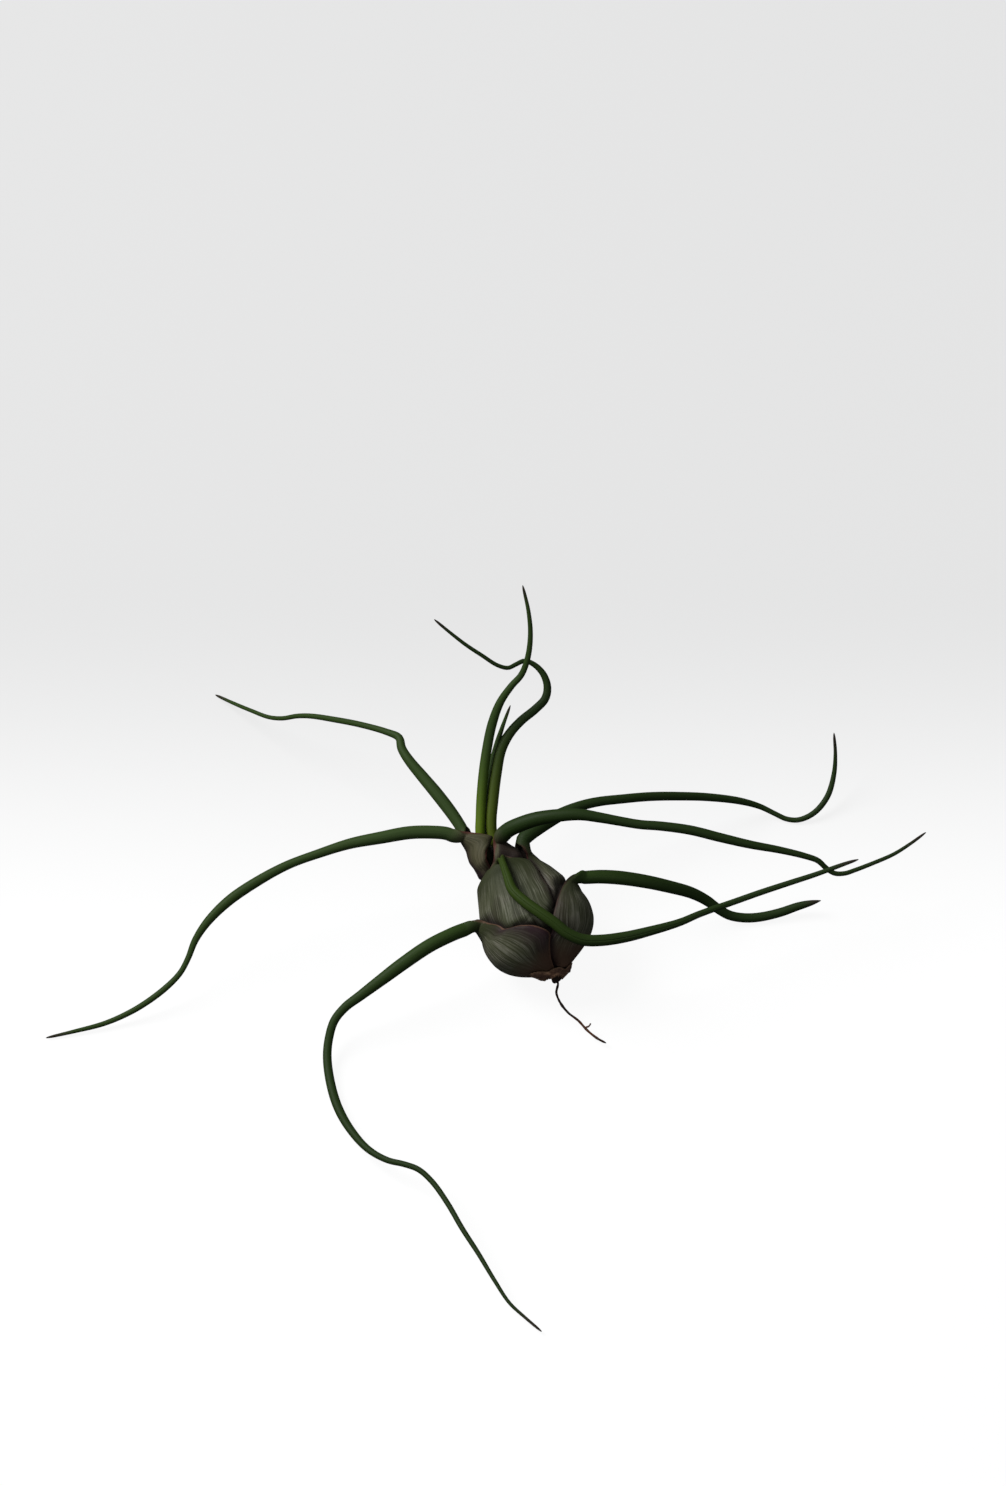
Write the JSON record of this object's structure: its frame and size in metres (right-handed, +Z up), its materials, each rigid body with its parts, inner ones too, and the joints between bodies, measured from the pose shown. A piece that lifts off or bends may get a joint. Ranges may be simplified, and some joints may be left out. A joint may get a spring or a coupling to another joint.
{
  "type": "bulbosa air plant",
  "caption": "Bulbous air plant as picked: nested swollen leaf sheaths around a short stem, long rolled leaves wandering outward, a dry scale at the foot and a wiry root.",
  "frame": {"origin": "on the small flat under the bulb, where the plant lies on a level surface", "axes": "+Z up, -Y towards the foot of the plant as it lies, +X to its right seen from the front"},
  "size_m": [0.2379, 0.2097, 0.071],
  "materials": {
    "outer_leaf": "matte",
    "centre_leaf": "satin",
    "dry_scale": "matte",
    "bark": "matte"
  },
  "bodies": {
    "root": {"leaf_low_left": "outer_leaf", "leaf_low_right": "outer_leaf", "leaf_front": "outer_leaf", "leaf_back_right": "outer_leaf", "leaf_front_right": "outer_leaf", "leaf_left": "outer_leaf", "leaf_back_left": "outer_leaf", "leaf_centre_right": "centre_leaf", "leaf_centre_left": "centre_leaf", "leaf_heart": "centre_leaf", "stem": "bark", "dry_scale": "dry_scale", "root": "bark"}
  },
  "joints": []
}
